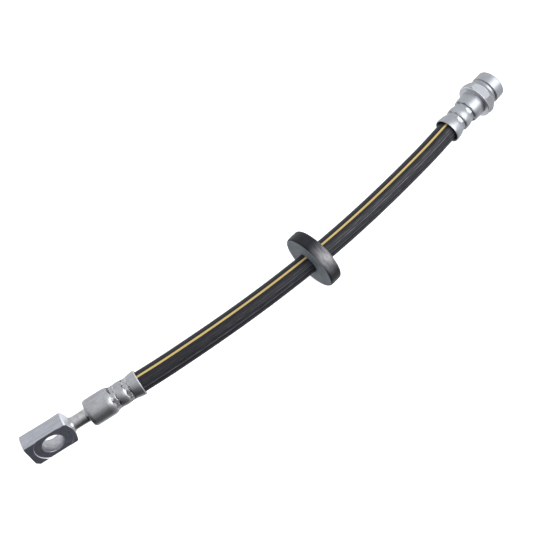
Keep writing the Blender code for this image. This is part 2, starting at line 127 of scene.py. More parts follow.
@dataclass
class Nodes:
    """A material's or the world's node tree, with short calls that each add one node.

    A call's values are constants or other nodes' output sockets, and it returns the
    socket of its own node's result.
    """

    tree: bpy.types.NodeTree

    def link(self, value: Value, socket: Socket) -> None:
        """Give an input a constant, or link it to another node's output."""
        if isinstance(value, bpy.types.NodeSocket):
            self.tree.links.new(value, socket)
        else:
            socket.default_value = (*value, 1.0) if socket.type == "RGBA" else value

    def add(self, kind: str, result: str, inputs: dict[str | int, Value], operation: str = ""
            ) -> Socket:
        """Add a node.

        Args:
            kind: the node's type, without the ShaderNode that all types start with.
            result: the name of the output to return.
            inputs: values by the input's name or number.
            operation: for the kinds that have one.

        Returns:
            The output's socket.
        """
        node = self.tree.nodes.new(f"ShaderNode{kind}")
        if operation:
            node.operation = operation
        for key, value in inputs.items():
            self.link(value, node.inputs[key])
        return node.outputs[result]

    def coords(self, kind: str) -> Socket:
        """Read the place of the point being shaded, as Object, UV or Generated."""
        return self.add("TexCoord", kind, {})

    def split(self, vector: Socket, axis: str) -> Socket:
        """Take X, Y or Z out of a vector."""
        return self.add("SeparateXYZ", axis, {"Vector": vector})

    def stretch(self, vector: Socket, scale: Triple) -> Socket:
        """Scale coordinates along each axis."""
        return self.add("Mapping", "Vector", {"Vector": vector, "Scale": scale})

    def math(self, operation: str, first: Value, second: Value = 0.0) -> Socket:
        """Combine two values, or change the first alone."""
        return self.add("Math", "Value", {0: first, 1: second}, operation)

    def against(self, operation: str, vector: Socket, other: Triple) -> Socket:
        """Measure a vector against a fixed one, by their distance or dot product."""
        return self.add("VectorMath", "Value", {0: vector, 1: other}, operation)

    def tint(self, colour: Socket, factor: Socket) -> Socket:
        """Make a colour lighter or darker by a factor."""
        return self.add("VectorMath", "Vector", {0: colour, "Scale": factor}, "SCALE")

    def noise(self, vector: Socket, scale: float, detail: float = 3.0, rough: float = 0.55
              ) -> Socket:
        """Add a noise texture."""
        return self.add("TexNoise", "Fac", {"Vector": vector, "Scale": scale, "Detail": detail,
                                            "Roughness": rough})

    def remap(self, value: Socket, low: float, high: float, out_low: float = 0.0,
              out_high: float = 1.0) -> Socket:
        """Stretch a value from one range to another, held inside it."""
        return self.add("MapRange", "Result", {"Value": value, "From Min": low, "From Max": high,
                                               "To Min": out_low, "To Max": out_high})

    def line(self, across: Socket, place: float, half: float, soft: float) -> Socket:
        """Draw a line: 1 within half of place and 0 beyond, with an edge soft wide either way."""
        away = self.math("ABSOLUTE", self.math("SUBTRACT", across, place))
        return self.remap(away, half + soft, half - soft)

    def mix(self, factor: Socket, first: Value, second: Value) -> Socket:
        """Blend two colours by factor."""
        node = self.tree.nodes.new("ShaderNodeMix")
        node.data_type = "RGBA"
        self.link(factor, node.inputs["Factor"])
        for key, value in (("A", first), ("B", second)):
            self.link(value, next(s for s in node.inputs if s.name == key and s.type == "RGBA"))
        return next(s for s in node.outputs if s.type == "RGBA")

    def bump(self, height: Socket, depth: float) -> Socket:
        """Turn a height, whose full step is depth metres, into bump."""
        return self.add("Bump", "Normal", {"Height": height, "Strength": 1.0, "Distance": depth})


def new_material(name: str, colour: Triple, roughness: float, metallic: float
                 ) -> tuple[Material, Nodes, bpy.types.NodeInputs]:
    """Make a node material with its Principled shader's constants set on the sockets.

    Args:
        name: the material's name.
        colour: linear base colour.
        roughness: base roughness.
        metallic: 0 or 1.

    Returns:
        The material, its nodes and its Principled BSDF's inputs.
    """
    mat = bpy.data.materials.new(name)
    mat.use_nodes = True
    inputs = mat.node_tree.nodes["Principled BSDF"].inputs
    inputs["Base Color"].default_value = (*colour, 1.0)
    inputs["Roughness"].default_value = roughness
    inputs["Metallic"].default_value = metallic
    mat.diffuse_color = (*colour, 1.0)
    return mat, Nodes(mat.node_tree), inputs


def link_object(name: str, data: bpy.types.ID) -> Object:
    """Make an object of a mesh, light or camera and add it to the scene."""
    obj = bpy.data.objects.new(name, data)
    bpy.context.scene.collection.objects.link(obj)
    return obj


@dataclass(frozen=True)
class SteelFinish:
    """A plated or bare steel surface with mottled plating and fine tool marks.

    The rings of a turned face follow the UV map's V, the lines of a drawn face its U, and
    both tint the metal by streaks. Over the range blend of the mottling's noise, shade
    gives way to colour.
    """

    name: str
    colour: Triple
    shade: Triple
    roughness: float
    pattern: Pattern
    lines: float = 60.0
    depth: float = 0.0000012
    mottle: float = 700.0
    streaks: float = 0.14
    blend: tuple[float, float] = (0.75, 1.3)
    cloud: float = 0.18
    uneven: float = 0.03

    def build(self) -> Material:
        """Return the finish as a material."""
        mat, nodes, inputs = new_material(self.name, self.colour, self.roughness, 1.0)
        spread = nodes.noise(nodes.coords("Object"), self.mottle, 4.0, 0.6)
        cloud = nodes.noise(nodes.coords("Object"), self.mottle * self.cloud, 2.0)
        factor = nodes.remap(nodes.math("ADD", spread, cloud), *self.blend)
        metal = nodes.mix(factor, self.shade, self.colour)
        rough = nodes.remap(spread, 0.3, 0.7, self.roughness + self.uneven,
                            self.roughness - self.uneven)
        marks, depth = spread, self.depth * 3.0
        if self.pattern is not Pattern.CAST:
            turned = self.pattern is Pattern.TURNED
            scale = (1.5, self.lines, 1.0) if turned else (self.lines, 0.6, 1.0)
            marks = nodes.noise(nodes.stretch(nodes.coords("UV"), scale), 1.0, 3.0, 0.7)
            depth = self.depth
            metal = nodes.tint(metal, nodes.remap(marks, 0.36, 0.64, 1.0 - self.streaks,
                                                  1.0 + 0.5 * self.streaks))
        nodes.link(metal, inputs["Base Color"])
        nodes.link(rough, inputs["Roughness"])
        nodes.link(nodes.bump(marks, depth), inputs["Normal"])
        return mat


@dataclass(frozen=True)
class HoseRubber:
    """Extruded rubber: fine lengthwise grooves, thin painted highlights along its ridges and one
    golden stripe, placed by UV angle.

    Each painted highlight line has a place round the hose and a strength at either end of a run
    along the hose, so that it grows or fades as the light falls along it.
    """

    name: str = "hose_rubber"
    colour: Triple = (0.012, 0.012, 0.016)
    light: Triple = (0.030, 0.030, 0.036)
    stripe: Triple = (0.67, 0.495, 0.18)
    # Colour of the painted highlight lines along the ridges.
    ridge_highlight: Triple = (0.20, 0.20, 0.215)
    ridge_highlights: tuple[Triple, ...] = (
        (0.572, 0.05, 0.30), (0.593, 0.12, 0.65), (0.612, 0.05, 0.35), (0.632, 0.15, 1.00),
        (0.660, 0.10, 0.40), (0.688, 0.85, 0.45), (0.702, 0.40, 0.30), (0.745, 0.10, 0.65))
    highlight_run: tuple[float, float] = (5.0, 17.0)
    highlight_half: float = 0.0045
    highlight_soft: float = 0.003
    stripe_at: float = 0.5
    stripe_half: float = 0.017
    stripe_soft: float = 0.0016
    stripe_dull: float = 0.82
    grain: Triple = (95.0, 1.6, 1.0)
    groove_depth: float = 0.00006
    roughness: float = 0.46
    gloss: float = 0.17

    def build(self) -> Material:
        """Return the rubber as a material."""
        mat, nodes, inputs = new_material(self.name, self.colour, self.roughness, 0.0)
        inputs["Specular IOR Level"].default_value = self.gloss
        drawn_out = nodes.stretch(nodes.coords("UV"), self.grain)
        grooves = nodes.noise(drawn_out, 1.0, 3.0, 0.65)
        rubber = nodes.mix(nodes.remap(grooves, 0.38, 0.68), self.colour, self.light)
        rubber = self.paint_ridge_highlights(nodes, grooves, rubber)
        inside = nodes.line(nodes.split(nodes.coords("UV"), "X"), self.stripe_at,
                            self.stripe_half, self.stripe_soft)
        patchy = nodes.remap(nodes.noise(drawn_out, 0.4, 2.0), 0.3, 0.7)
        gold = nodes.mix(patchy, tuple(self.stripe_dull * c for c in self.stripe), self.stripe)
        nodes.link(nodes.mix(inside, rubber, gold), inputs["Base Color"])
        nodes.link(nodes.bump(grooves, self.groove_depth), inputs["Normal"])
        return mat

    def paint_ridge_highlights(self, nodes: Nodes, grain: Socket, rubber: Socket) -> Socket:
        """Paint thin highlight lines, standing for the glints on the hose's ridges, over its
        rubber.

        Args:
            nodes: the material's nodes.
            grain: noise that makes each line come and go.
            rubber: the colour under the lines.

        Returns:
            The colour with the lines on it.
        """
        patchy = nodes.remap(grain, 0.40, 0.60, 0.35, 1.0)
        around_hose, along_hose = (nodes.split(nodes.coords("UV"), axis) for axis in "XY")
        for place, first, last in self.ridge_highlights:
            near = nodes.line(around_hose, place, self.highlight_half, self.highlight_soft)
            strength = nodes.remap(along_hose, *self.highlight_run, first, last)
            amount = nodes.math("MULTIPLY", nodes.math("MULTIPLY", near, strength), patchy)
            # Painted highlight: lighter colour along the line stands for a glint on a ridge.
            rubber = nodes.mix(amount, rubber, self.ridge_highlight)
        return rubber


@dataclass(frozen=True)
class MouldedRubber:
    """Moulded rubber with a fine even grain, a faint bloom and, unless its reach is 0,
    one light patch round a point on it: a painted highlight."""

    name: str = "grommet_rubber"
    colour: Triple = (0.010, 0.010, 0.014)
    bloom: Triple = (0.022, 0.023, 0.029)
    roughness: float = 0.42
    gloss: float = 0.20
    grain_depth: float = 0.00002
    # Colour of the painted highlight patch, where the soft lamp's highlight falls on the rim.
    highlight_colour: Triple = (0.52, 0.51, 0.525)
    highlight_at: Triple = (0.0152, -0.0098, 0.0291)
    highlight_reach: float = 0.0106
    highlight_core: float = 0.0008
    highlight_fade: float = 1.7
    wisps: Triple = (900.0, 220.0, 220.0)

    def build(self) -> Material:
        """Return the rubber as a material."""
        mat, nodes, inputs = new_material(self.name, self.colour, self.roughness, 0.0)
        inputs["Specular IOR Level"].default_value = self.gloss
        place = nodes.coords("Object")
        cloud = nodes.remap(nodes.noise(place, 160.0, 4.0), 0.35, 0.7)
        rubber = nodes.mix(cloud, self.colour, self.bloom)
        # Painted highlight: a light patch that fades out from a point on the rim, broken up by
        # streaky noise.
        if self.highlight_reach:
            away = nodes.against("DISTANCE", place, self.highlight_at)
            near = nodes.remap(away, self.highlight_reach, self.highlight_core, 0.0, 0.9)
            near = nodes.math("POWER", near, self.highlight_fade)
            wisps = nodes.noise(nodes.stretch(place, self.wisps), 1.0, 4.0, 0.6)
            uneven = nodes.remap(wisps, 0.30, 0.62, 0.35, 1.0)
            rubber = nodes.mix(nodes.math("MULTIPLY", near, uneven), rubber, self.highlight_colour)
        nodes.link(rubber, inputs["Base Color"])
        grain = nodes.noise(place, 2600.0, 2.0)
        nodes.link(nodes.bump(grain, self.grain_depth), inputs["Normal"])
        return mat


STEELS = (
    SteelFinish("banjo_steel", (0.50, 0.505, 0.545), (0.43, 0.435, 0.465), 0.42,
                Pattern.DRAWN, 34.0, mottle=1100.0),
    SteelFinish("milled_steel", (0.405, 0.415, 0.485), (0.32, 0.33, 0.40), 0.40,
                Pattern.CAST, mottle=1800.0),
    # A little lighter copy for the cross hole's wall: painted light from the floor.
    SteelFinish("bore_steel", (0.56, 0.565, 0.595), (0.38, 0.375, 0.40), 0.34,
                Pattern.CAST, mottle=900.0),
    # A much lighter copy for ends, rims and edges: painted highlights.
    SteelFinish("end_steel", (0.84, 0.85, 0.89), (0.70, 0.71, 0.75), 0.50,
                Pattern.CAST, mottle=900.0),
    SteelFinish("neck_steel", (0.64, 0.635, 0.65), (0.34, 0.325, 0.32), 0.17,
                Pattern.TURNED, 30.0, mottle=420.0),
    SteelFinish("ferrule_steel", (0.50, 0.50, 0.52), (0.40, 0.395, 0.41), 0.37,
                Pattern.DRAWN, mottle=900.0),
    # Dark and light flecks for the crimps' torn edges: painted shade and glints.
    SteelFinish("scuffed_steel", (0.60, 0.60, 0.61), (0.09, 0.085, 0.09), 0.36,
                Pattern.CAST, mottle=1700.0, blend=(0.90, 1.02)),
    SteelFinish("fitting_steel", (0.46, 0.47, 0.495), (0.39, 0.40, 0.425), 0.40,
                Pattern.TURNED, mottle=1500.0, streaks=0.08),
    # A much lighter copy for the flange: painted light.
    SteelFinish("flange_steel", (0.90, 0.91, 0.93), (0.74, 0.75, 0.78), 0.42,
                Pattern.TURNED, mottle=1500.0),
    SteelFinish("insert_steel", (0.62, 0.62, 0.64), (0.50, 0.50, 0.52), 0.32, Pattern.TURNED))
# The grommet's faces: the same rubber painted much lighter, a painted reflection of the white
# floor.
FLOOR_LIT_FACE_RUBBER = MouldedRubber("grommet_face_painted_light", (0.205, 0.23, 0.258), (0.33, 0.365, 0.405),
                            0.62, 0.5, highlight_reach=0.0)


def cell_corners(grid: np.ndarray) -> np.ndarray:
    """Return the four corners of each cell of a grid, in order round the cell."""
    return np.stack([grid[:-1, :-1], grid[:-1, 1:], grid[1:, 1:], grid[1:, :-1]], axis=2)


@dataclass
class Piece:
    """A grid surface, rows by columns by 3 in metres, that becomes one mesh object.

    Each cell of the grid becomes one four-sided face. The columns always close on
    themselves; the rows close too on a turned ring, whose outline is a loop.
    """

    name: str
    points: np.ndarray
    close_rows: bool = True

    def cells(self) -> tuple[np.ndarray, np.ndarray]:
        """Return each face's four vertices and their UV: round in U and along in V."""
        rows, cols = self.points.shape[:2]
        index = np.pad(np.arange(rows * cols).reshape(rows, cols), ((0, 1), (0, 1)), mode="wrap")
        step = np.linalg.norm(np.diff(self.points, axis=0, append=self.points[:1]), axis=-1)
        along = np.concatenate([[0.0], np.cumsum(step.mean(axis=1))]) * UV_PER_METRE
        uv = np.stack(np.meshgrid(np.arange(cols + 1) / cols, along), axis=-1)
        if not self.close_rows:
            index, uv = index[:-1], uv[:-1]
        return cell_corners(index).reshape(-1, 4), cell_corners(uv).reshape(-1, 4, 2)

    def build(self, materials: list[Material], sharp: float = 40.0,
              slots: np.ndarray | None = None) -> Object:
        """Make the object, turned the right way out by the sign of its volume.

        Args:
            materials: the object's material slots.
            sharp: edges past this angle, in degrees, stay crisp.
            slots: the material slot of each row's faces; the first where left out.

        Returns:
            The new mesh object, at the origin.
        """
        verts = self.points.reshape(-1, 3)
        quads, coords = self.cells()
        a, b, c, d = (verts[quads[:, k]] for k in range(4))
        if np.einsum("ij,ij->", a, np.cross(b, c) + np.cross(c, d)) < 0.0:
            quads, coords = quads[:, ::-1], coords[:, ::-1]
        mesh = bpy.data.meshes.new(self.name)
        mesh.vertices.add(len(verts))
        mesh.vertices.foreach_set("co", verts.astype(np.float32).ravel())
        mesh.loops.add(quads.size)
        mesh.loops.foreach_set("vertex_index", quads.astype(np.int32).ravel())
        mesh.polygons.add(len(quads))
        mesh.polygons.foreach_set("loop_start", np.arange(0, quads.size, 4, dtype=np.int32))
        layer = mesh.uv_layers.new(name="UVMap")
        layer.data.foreach_set("uv", coords.astype(np.float32).ravel())
        mesh.update(calc_edges=True)
        mesh.validate()
        mesh.shade_smooth()
        mesh.set_sharp_from_angle(angle=math.radians(sharp))
        for material in materials:
            mesh.materials.append(material)
        if slots is not None:
            each = np.repeat(slots, self.points.shape[1]).astype(np.int32)
            mesh.polygons.foreach_set("material_index", each)
        return link_object(self.name, mesh)


def curve_through(points: Pairs, per: int = 6) -> np.ndarray:
    """Smooth outline through points: each span is a cubic whose ends follow its neighbours.

    Args:
        points: pairs of radius and height.
        per: samples on each span.

    Returns:
        An array of samples by 2.
    """
    knots = np.array(points)
    before = np.vstack([knots[:1], knots[:-2]])
    start, end = knots[:-1], knots[1:]
    after = np.vstack([knots[2:], knots[-1:]])
    t = np.linspace(0.0, 1.0, per, endpoint=False)[None, :, None]
    p0, p1, p2, p3 = (v[:, None, :] for v in (before, start, end, after))
    cubic = 0.5 * (2 * p1 + (p2 - p0) * t + (2 * p0 - 5 * p1 + 4 * p2 - p3) * t ** 2
                   + (3 * p1 - p0 - 3 * p2 + p3) * t ** 3)
    return np.vstack([cubic.reshape(-1, 2), knots[-1:]])


def rounded(points: Pairs, radius: float = 0.15, per: int = 3) -> np.ndarray:
    """Straight-sided outline with each corner turned into a short curve.

    Each corner gives way to a quadratic arc that starts and ends radius from it, or
    less where the sides are short.

    Args:
        points: pairs of radius and height.
        radius: how far from a corner its arc starts.
        per: spans in each arc.

    Returns:
        An array of samples by 2.
    """
    knots = np.array(points)
    inner = knots[1:-1]
    back, on = knots[:-2] - inner, knots[2:] - inner
    back_len = np.linalg.norm(back, axis=1, keepdims=True)
    on_len = np.linalg.norm(on, axis=1, keepdims=True)
    reach = np.minimum(radius, 0.45 * np.minimum(back_len, on_len))
    first, last = inner + back / back_len * reach, inner + on / on_len * reach
    t = np.linspace(0.0, 1.0, per + 1)[None, :, None]
    arc = (1 - t) ** 2 * first[:, None] + 2 * t * (1 - t) * inner[:, None] + t ** 2 * last[:, None]
    return np.vstack([knots[:1], arc.reshape(-1, 2), knots[-1:]])


def densify(outline: np.ndarray, step: float) -> np.ndarray:
    """Add points so that no span of an outline is longer than step."""
    span = np.linalg.norm(np.diff(outline, axis=0), axis=1)
    pieces = np.maximum(1, np.ceil(span / step)).astype(int)
    place = np.concatenate([i + np.arange(n) / n for i, n in enumerate(pieces)]
                           + [[float(len(span))]])
    index = np.arange(len(outline))
    return np.stack([np.interp(place, index, outline[:, k]) for k in range(2)], axis=1)


def around(columns: int) -> np.ndarray:
    """Return the angle of each column of a turned grid, in radians."""
    return TURN * np.arange(columns) / columns


def revolve(outline: np.ndarray, columns: int, turn: float = 0.0) -> np.ndarray:
    """Turn an outline: a point at radius r and angle a is (r cos a, r sin a, height).

    Args:
        outline: samples by 2, radius and height, or samples by columns by 2.
        columns: how many steps go round.
        turn: the first column's angle.

    Returns:
        An array of rows by columns by 3, in the fitting's frame.
    """
    angle = around(columns) + turn
    if outline.ndim == 2:
        outline = np.broadcast_to(outline[:, None, :], (len(outline), columns, 2))
    radius, height = outline[..., 0], outline[..., 1]
    return np.stack([radius * np.cos(angle), radius * np.sin(angle), height], axis=-1)


def polygon_reach(angle: np.ndarray, sides: int, apothem: float, turn: float) -> np.ndarray:
    """Distance to a regular polygon's side in each direction: apothem over a cosine."""
    span = TURN / sides
    local = np.mod(angle - turn + span / 2.0, span) - span / 2.0
    return apothem / np.cos(local)


def bell(value: np.ndarray, middle: float, spread: float) -> np.ndarray:
    """Smooth bump: 1 where value is middle, and next to nothing two spreads away."""
    return np.exp(-((value - middle) / spread) ** 2)


def barb_outline(start: float, end: float, radius: float = 1.95, pitch: float = 4.2
                 ) -> np.ndarray:
    """Saw-tooth outline of a hose insert from start to end, with radius at its teeth."""
    low, step = radius - 0.3, math.copysign(pitch, end - start)
    base = start + step * (np.arange(int(abs(end - start) / pitch)) + 0.35)
    teeth = [[(low, at), (radius, at + 0.02 * step), (low, at + 0.55 * step)] for at in base]
    tip = [(low, end - math.copysign(0.5, step)), (low - 0.3, end)]
    return np.vstack([[(low, start)], *teeth, tip])


@dataclass(frozen=True)
class CrimpBand:
    """A ring of flat jaw marks pressed into a ferrule.

    Creases are deep and lips are low towards the angle deep_at, and the other way round
    opposite.
    """

    height: float
    apothem: float
    width: float = 2.3
    jaws: int = 8
    turn: float = 0.0
    crease: float = 0.14
    fleck: float = 0.03
    scallop: float = 0.16
    side: float = 0.10
    uneven: float = 0.05
    ridge: float = 0.10
    ridge_width: float = 0.05
    lip: float = 0.13
    deep_lip: float = 0.04
    deep_at: float = 0.9

    def press(self, radius: np.ndarray, height: np.ndarray, angle: np.ndarray) -> np.ndarray:
        """Push the radius down to the jaws' flats inside the band.

        The flats are a polygon's sides, some a little deeper than others, and widest at
        their middles. Between jaws the metal rises in a thin ridge. Along the band's two
        edges a low lip of squeezed metal stands up with ragged flecks torn out of it, and
        a crease runs inside the upper one.

        Args:
            radius: rows by columns of the turned shape.
            height: rows by columns.
            angle: 1 by columns.

        Returns:
            The pressed radius, rows by columns.
        """
        wave = np.cos(self.jaws * (angle - self.turn))
        half = self.width / 2.0 * (1.0 - self.scallop + self.scallop * wave)
        above = height - self.height - half
        beyond = np.abs(height - self.height) - half
        inside = np.clip(0.5 - beyond / self.side, 0.0, 1.0)
        inside = inside * inside * (3.0 - 2.0 * inside)
        span = TURN / self.jaws
        number = np.floor((angle - self.turn + span / 2.0) / span)
        flat = polygon_reach(angle, self.jaws, self.apothem, self.turn) \
            + self.uneven * np.sin(2.3 * number + self.height)
        between = np.mod(angle - self.turn, span) - span / 2.0
        pressed = np.minimum(radius, flat) + self.ridge * bell(between, 0.0, self.ridge_width)
        deep = np.clip(1.6 * np.cos(angle - self.deep_at), 0.0, 1.0)
        lip = (self.lip + (self.deep_lip - self.lip) * deep) * bell(beyond, 0.14, 0.13)
        lip = lip * (0.6 + 0.4 * wave)
        crease = deep * self.crease * bell(above, -0.05, 0.10)
        ragged = np.abs(np.sin(37.0 * angle + 2.0 * height) * np.sin(23.0 * angle + self.height))
        torn = self.fleck * ragged * bell(beyond, 0.0, 0.25)
        return radius + inside * (pressed - radius) + (1.0 - inside) * lip - crease - torn


def press_bands(shape: np.ndarray, rows: np.ndarray, bands: tuple[CrimpBand, ...]) -> None:
    """Press bands into some of the rows of a turned shape, rows by columns by 2."""
    angle = around(shape.shape[1])[None, :]
    for band in bands:
        shape[rows, :, 0] = band.press(shape[rows, :, 0], shape[rows, :, 1], angle)


def fetched(items: bpy.types.bpy_prop_collection, key: str) -> np.ndarray:
    """Return a three-number attribute of every item in a mesh's collection."""
    values = np.empty(len(items) * 3)
    items.foreach_get(key, values)
    return values.reshape(-1, 3)


@dataclass
class BanjoEnd:
    """Banjo block and its neck tube."""

    radius: float = 8.5
    length: float = 21.75
    shoulder: float = 1.5
    end_round: float = 0.5
    flat: float = 4.08
    seat: float = 3.83
    seat_radius: float = 9.45
    seat_rim: float = 0.22
    hole_radius: float = 5.42
    hole_at: float = 12.2
    hole_chamfer: float = 0.12
    passage: float = 1.25
    socket_depth: float = 3.9
    socket_gap: float = 0.12
    corner_at: float = 5.4
    corner_slope: float = 38.0
    flat_roll: float = 61.3
    edge_width: float = 0.32
    edge_angle: float = 28.0
    core: float = 0.3
    neck_radius: float = 3.35
    neck_bore: float = 1.1

    def cutter(self, name: str, outline: np.ndarray, columns: int, turn: float = 0.0,
               across: tuple[float, float] | None = None) -> Object:
        """Turn an outline, which starts and ends at the radius core, into a closed cutter.

        Args:
            name: the cutter's name.
            outline: samples by 2, radius and height.
            columns: steps round; four make a box.
            turn: angle of the first column.
            across: where the turning axis crosses the block's y-z plane; the cutter runs
                along the block itself where this is left out.

        Returns:
            The cutter.
        """
        shape = revolve(outline, columns, turn)
        if across is not None:
            shape = shape[..., [2, 1, 0]] * [1.0, 1.0, -1.0] + [0.0, *across]
        place = BANJO_AXIS.rolled(self.flat_roll).place
        obj = Piece(name, place(shape), close_rows=False).build([])
        bm = bmesh.new()
        bm.from_mesh(obj.data)
        bm.verts.ensure_lookup_table()
        for ring in (bm.verts[:columns], bm.verts[-columns:]):
            bm.faces.new(ring)
        bmesh.ops.recalc_face_normals(bm, faces=bm.faces)
        bm.to_mesh(obj.data)
        bm.free()
        return obj

    def cutters(self) -> list[Object]:
        """Make what is taken away from the bar: flats, seats, hole, passage and tip corner."""
        core, lip, hole = self.core, self.hole_chamfer, self.hole_radius
        reach = 2.0 * self.radius
        corner = math.sqrt(2.0) * reach
        square = math.pi / 4.0
        middle = (0.0, self.hole_at)
        inner, outer = self.seat_radius - self.seat_rim, self.seat_radius + self.seat_rim
        box = np.array([(core, 0.0), (corner, 0.0), (corner, reach), (core, reach)])
        disc = np.array([(core, 0.0), (inner, 0.0), (outer, 2.0 * (self.flat - self.seat)),
                         (outer, 3.0), (core, 3.0)])
        made = []
        for sign in (1.0, -1.0):
            side = np.array([1.0, sign])
            made.append(self.cutter("flat", (box + [0.0, self.flat]) * side, 4, square, middle))
            made.append(self.cutter("seat", (disc + [0.0, self.seat]) * side, 128, 0.0, middle))
        half = np.array([(core, reach), (hole + lip, reach), (hole + lip, self.seat),
                         (hole + 0.3 * lip, self.seat - 0.6 * lip),
                         (hole, self.seat - 1.2 * lip)])
        rod = np.vstack([half * [1.0, -1.0], half[::-1]])
        made.append(self.cutter("cross_hole", rod, 128, 0.0, middle))
        top = self.length + self.shoulder - 1.0
        drill = np.array([(core, self.hole_at), (self.passage, self.hole_at),
                          (self.passage, top), (core, top)])
        made.append(self.cutter("passage", drill, 32))
        slope = math.radians(self.corner_slope)
        wedge = np.array([(core, -reach), (corner, -reach), (corner, reach), (core, reach)])
        spot = (self.corner_at + reach * math.sin(slope), -reach * math.cos(slope))
        made.append(self.cutter("tip_corner", wedge, 4, square + slope, spot))
        return made

    def make_block(self, finishes: list[Material]) -> Object:
        """Round bar with two milled flats, spot-faced rings and the cross hole.

        The bar is a turned outline; boxes, short discs and a waisted rod with flared
        rims, all turned outlines too, are taken away from it, and the edges broken.

        Args:
            finishes: of the turned skin, the milled flats, the cross hole's wall, lighter with
                painted light from the floor, and the bar's two ends with the seats' rims, painted
                with highlights.

        Returns:
            The block.
        """
        rear = self.length + self.shoulder
        socket = self.neck_radius + self.socket_gap
        soft, bar = self.end_round, self.radius
        outline = rounded([
            (self.core, 0.0), (bar - soft, 0.0), (bar, soft), (bar, self.length - soft),
            (bar - soft, self.length + 0.2), (socket + 0.9, rear - 0.12), (socket + 0.25, rear),
            (socket, rear), (socket, rear - self.socket_depth),
            (self.core, rear - self.socket_depth)], 0.3, 4)
        block = self.cutter("banjo_block_piece", outline, 192)
        cutters = self.cutters()
        for cutter in cutters:
            cut = block.modifiers.new("cut", "BOOLEAN")
            cut.operation, cut.solver, cut.object = "DIFFERENCE", "MANIFOLD", cutter
        edges = block.modifiers.new("edges", "BEVEL")
        edges.width, edges.segments, edges.limit_method = self.edge_width, 2, "ANGLE"
        edges.angle_limit = math.radians(self.edge_angle)
        edges.harden_normals = True
        graph = bpy.context.evaluated_depsgraph_get()
        mesh = bpy.data.meshes.new_from_object(block.evaluated_get(graph))
        block.modifiers.clear()
        block.data = mesh
        mesh.name = block.name
        for cutter in cutters:
            bpy.data.objects.remove(cutter, do_unlink=True)
        mesh.materials.clear()
        for material in finishes:
            mesh.materials.append(material)
        self.dress_block(mesh)
        return block

    def dress_block(self, mesh: Mesh, square: float = 0.9, near: float = 0.05) -> None:
        """Give each face its finish by where it lies, and lay a flat map along the axis.

        Args:
            mesh: the block's mesh.
            square: the cosine past which a face counts as facing along an axis.
            near: how far past a plane, in millimetres, a face still counts as on it.
        """
        axis = BANJO_AXIS.rolled(self.flat_roll)
        local = axis.local(fetched(mesh.polygons, "center"))
        facing = np.abs(fetched(mesh.polygons, "normal") @ axis.basis().T)
        out, along = np.abs(local[:, 0]), local[:, 2]
        across = np.hypot(local[:, 1], along - self.hole_at)
        rim = self.seat_radius - 0.5 * self.seat_rim
        at_end = (along < 0.6) | (along > self.length - 0.6)
        # Painted light: slot 2, the hole's wall, is a lighter steel for the floor's light in the
        # hole, and slot 3, the ends and the seats' rims, a much lighter one for their highlights.
        kind = np.select([
            (across < self.hole_radius + 0.5) & (facing[:, 0] < square) & (out < self.seat + near),
            (np.abs(across - rim) < self.seat_rim) & (facing[:, 0] < 0.98)
            & (out < self.flat + near),
            (facing[:, 0] > square) & (out < self.flat + near),
            (facing[:, 2] > 0.35) & (facing[:, 0] < square) & at_end], [2, 3, 1, 3], 0)
        mesh.polygons.foreach_set("material_index", kind.astype(np.int32))
        corners = np.empty(len(mesh.loops), dtype=np.int32)
        mesh.loops.foreach_get("vertex_index", corners)
        spots = axis.local(fetched(mesh.vertices, "co"))
        turn = np.arctan2(spots[:, 1], spots[:, 0]) / TURN
        uv = np.stack([turn, spots[:, 2] * MM * UV_PER_METRE], axis=1)[corners]
        layer = mesh.uv_layers.get("UVMap") or mesh.uv_layers.new(name="UVMap")
        layer.data.foreach_set("uv", uv.astype(np.float32).ravel())
        mesh.update()

    def make_neck(self, steel: Material) -> Object:
        """Neck tube with its braze fillets, stepped down to the barbed insert."""
        rear, neck, mouth = self.length + self.shoulder, self.neck_radius, FERRULE_AT
        start, shoulder, end = rear - self.socket_depth + 0.3, mouth + 3.3, mouth + 25.0
        outer = curve_through([
            (neck, start), (neck, rear - 1.0), (neck + 0.55, rear - 0.1),
            (neck + 0.34, rear + 0.3), (neck + 0.1, rear + 0.8), (neck, rear + 1.5),
            (neck - 0.04, rear + 4.0), (neck, mouth - 1.6), (neck + 0.12, mouth - 0.9),
            (neck + 0.4, mouth - 0.35), (neck + 0.95, mouth - 0.02), (neck + 0.24, mouth + 0.06),
            (neck, mouth + 0.4)], 5)
        loop = np.vstack([outer, [(neck, shoulder)], barb_outline(shoulder, end),
                          [(self.neck_bore, end), (self.neck_bore, start)]])
        shape = BANJO_AXIS.place(revolve(densify(loop, 0.8), 96))
        return Piece("neck_tube_piece", shape).build([steel])


